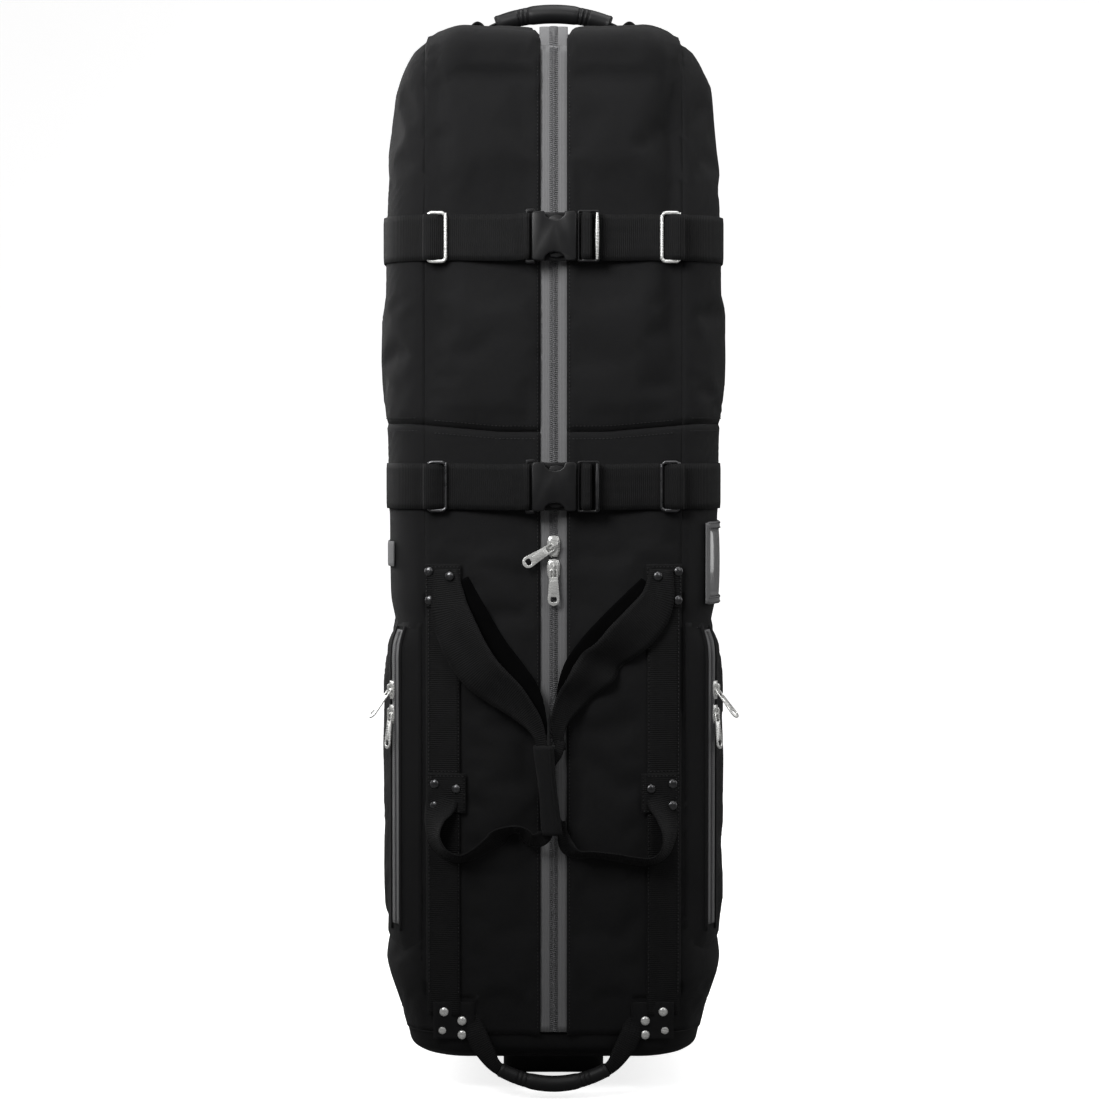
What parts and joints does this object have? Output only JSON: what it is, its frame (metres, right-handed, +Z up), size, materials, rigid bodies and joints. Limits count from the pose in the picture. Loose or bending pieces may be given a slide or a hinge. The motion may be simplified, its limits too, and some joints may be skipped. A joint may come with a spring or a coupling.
{
  "type": "golf travel case",
  "caption": "Tall soft-sided wheeled golf travel case with padded hood, front zipper, webbing compression straps, side pockets and carry handles.",
  "frame": {"origin": "on the floor, on the underside of the standing foot, under the middle of the case", "axes": "+Z up the case, -Y the front with the main zipper, +X to the right seen from the front"},
  "size_m": [0.4146, 0.383, 1.2378],
  "materials": {
    "cloth": "ballistic nylon weave, near black",
    "webbing": "ribbed nylon webbing, black",
    "zipper_tape": "woven zipper tape, grey",
    "black_plastic": "satin black acetal and polypropylene",
    "black_rubber": "ribbed moulded rubber, black",
    "nickel": "bright nickel plate",
    "black_metal": "black plated wire and rivets",
    "polyurethane": "cast polyurethane tread, black",
    "clear_vinyl": "clear vinyl over a blank card"
  },
  "bodies": {
    "case": {"base_tray": "black_plastic", "front_foot": "black_rubber", "wheel_housing_left": "black_plastic", "wheel_housing_right": "black_plastic", "wheel_axle_left": "nickel", "wheel_axle_right": "nickel", "lower_shell": "cloth", "padded_hood": "cloth", "side_pocket_left": "cloth", "side_pocket_right": "cloth", "upper_side_strap_left": "webbing", "upper_side_strap_right": "webbing", "lower_side_strap_left": "webbing", "lower_side_strap_right": "webbing", "bottom_anchor_left": "black_metal", "bottom_anchor_right": "black_metal", "id_window": "clear_vinyl"},
    "left_wheel": {"wheel_left": "polyurethane", "wheel_bearing_left": "nickel"},
    "right_wheel": {"wheel_right": "polyurethane", "wheel_bearing_right": "nickel"},
    "left_flap": {"front_flap_left": "cloth", "zipper_tape_left": "zipper_tape", "upper_strap_left": "webbing", "lower_strap_left": "webbing", "upper_buckle_socket": "black_plastic", "lower_buckle_socket": "black_plastic", "upper_adjuster_left": "nickel", "lower_adjuster_left": "black_metal", "carry_anchor_upper_left": "black_metal", "carry_anchor_lower_left": "black_metal"},
    "right_flap": {"front_flap_right": "cloth", "zipper_tape_right": "zipper_tape", "upper_strap_right": "webbing", "lower_strap_right": "webbing", "upper_adjuster_right": "nickel", "lower_adjuster_right": "black_metal", "carry_anchor_upper_right": "black_metal", "carry_anchor_lower_right": "black_metal"},
    "upper_plug": {"upper_buckle_plug": "black_plastic"},
    "lower_plug": {"lower_buckle_plug": "black_plastic"},
    "main_upper_zip": {"main_upper_slider": "nickel"},
    "main_lower_zip": {"main_lower_slider": "nickel"},
    "main_upper_tab": {"main_upper_pull": "nickel"},
    "main_lower_tab": {"main_lower_pull": "nickel"},
    "carry_left": {"carry_strap_left": "webbing", "hand_wrap": "webbing"},
    "carry_right": {"carry_strap_right": "webbing"},
    "top_handle": {"top_handle_strap": "webbing", "top_handle_grip": "black_rubber"},
    "bottom_handle": {"bottom_handle_strap": "webbing", "bottom_handle_grip": "black_rubber"},
    "pocket_left_upper_zip": {"pocket_left_upper_slider": "nickel"},
    "pocket_left_upper_tab": {"pocket_left_upper_pull": "nickel"},
    "pocket_left_lower_zip": {"pocket_left_lower_slider": "nickel"},
    "pocket_left_lower_tab": {"pocket_left_lower_pull": "nickel"},
    "pocket_right_upper_zip": {"pocket_right_upper_slider": "nickel"},
    "pocket_right_upper_tab": {"pocket_right_upper_pull": "nickel"},
    "pocket_right_lower_zip": {"pocket_right_lower_slider": "nickel"},
    "pocket_right_lower_tab": {"pocket_right_lower_pull": "nickel"}
  },
  "joints": [
    {"name": "left_wheel_spin", "type": "hinge", "parent": "case", "child": "left_wheel", "pos_m": [-0.13, 0.14, 0.038], "axis": [1, 0, 0], "continuous": true},
    {"name": "right_wheel_spin", "type": "hinge", "parent": "case", "child": "right_wheel", "pos_m": [0.13, 0.14, 0.038], "axis": [1, 0, 0], "continuous": true},
    {"name": "left_flap_opens", "type": "hinge", "parent": "case", "child": "left_flap", "pos_m": [-0.1423, -0.166, 0.6], "axis": [0, 0, -1], "range_deg": [0, 100]},
    {"name": "right_flap_opens", "type": "hinge", "parent": "case", "child": "right_flap", "pos_m": [0.1423, -0.166, 0.6], "axis": [0, 0, 1], "range_deg": [0, 100]},
    {"name": "upper_buckle_release", "type": "slide", "parent": "left_flap", "child": "upper_plug", "axis": [1, 0, 0], "range_m": [0, 0.036]},
    {"name": "lower_buckle_release", "type": "slide", "parent": "left_flap", "child": "lower_plug", "axis": [1, 0, 0], "range_m": [0, 0.036]},
    {"name": "main_upper_zip_run", "type": "slide", "parent": "left_flap", "child": "main_upper_zip", "axis": [0, 0, 1], "range_m": [0, 0.53]},
    {"name": "main_lower_zip_run", "type": "slide", "parent": "left_flap", "child": "main_lower_zip", "axis": [0, 0, 1], "range_m": [-0.48, 0]},
    {"name": "main_upper_tab_lift", "type": "hinge", "parent": "main_upper_zip", "child": "main_upper_tab", "pos_m": [0, -0.1749, 0.616], "axis": [-0.5299, 0, 0.848], "range_deg": [0, 150]},
    {"name": "main_lower_tab_lift", "type": "hinge", "parent": "main_lower_zip", "child": "main_lower_tab", "pos_m": [0, -0.1749, 0.59], "axis": [-1, 0, 0], "range_deg": [0, 150]},
    {"name": "pocket_left_upper_zip_run", "type": "slide", "parent": "case", "child": "pocket_left_upper_zip", "axis": [0, 0, 1], "range_m": [0, 0.056]},
    {"name": "pocket_left_upper_tab_lift", "type": "hinge", "parent": "pocket_left_upper_zip", "child": "pocket_left_upper_tab", "pos_m": [-0.18313, -0.13545, 0.454], "axis": [-0.5, 0.866, 0], "range_deg": [-12, 100]},
    {"name": "pocket_left_lower_zip_run", "type": "slide", "parent": "case", "child": "pocket_left_lower_zip", "axis": [0, 0, 1], "range_m": [-0.22, 0]},
    {"name": "pocket_left_lower_tab_lift", "type": "hinge", "parent": "pocket_left_lower_zip", "child": "pocket_left_lower_tab", "pos_m": [-0.18313, -0.13545, 0.427], "axis": [-0.5, 0.866, 0], "range_deg": [-6, 60]},
    {"name": "pocket_right_upper_zip_run", "type": "slide", "parent": "case", "child": "pocket_right_upper_zip", "axis": [0, 0, 1], "range_m": [0, 0.056]},
    {"name": "pocket_right_upper_tab_lift", "type": "hinge", "parent": "pocket_right_upper_zip", "child": "pocket_right_upper_tab", "pos_m": [0.18313, -0.13545, 0.454], "axis": [-0.5, -0.866, 0], "range_deg": [-12, 100]},
    {"name": "pocket_right_lower_zip_run", "type": "slide", "parent": "case", "child": "pocket_right_lower_zip", "axis": [0, 0, 1], "range_m": [-0.22, 0]},
    {"name": "pocket_right_lower_tab_lift", "type": "hinge", "parent": "pocket_right_lower_zip", "child": "pocket_right_lower_tab", "pos_m": [0.18313, -0.13545, 0.427], "axis": [-0.5, -0.866, 0], "range_deg": [-6, 60]},
    {"name": "left_carry_lift", "type": "hinge", "parent": "left_flap", "child": "carry_left", "pos_m": [-0.125, -0.1716, 0.43], "axis": [0, 0, -1], "range_deg": [0, 80]},
    {"name": "right_carry_lift", "type": "hinge", "parent": "right_flap", "child": "carry_right", "pos_m": [0.125, -0.1716, 0.43], "axis": [0, 0, 1], "range_deg": [0, 80]},
    {"name": "top_handle_rock", "type": "hinge", "parent": "case", "child": "top_handle", "pos_m": [0, 0, 1.201], "axis": [1, 0, 0], "range_deg": [-35, 35]},
    {"name": "bottom_handle_lift", "type": "hinge", "parent": "case", "child": "bottom_handle", "pos_m": [0, -0.1718, 0.0735], "axis": [-1, 0, 0], "range_deg": [0, 100]}
  ],
  "couplings": [
    {"joint": "right_flap_opens", "follows": "left_flap_opens", "ratio": 1},
    {"joint": "right_carry_lift", "follows": "left_carry_lift", "ratio": 1}
  ]
}
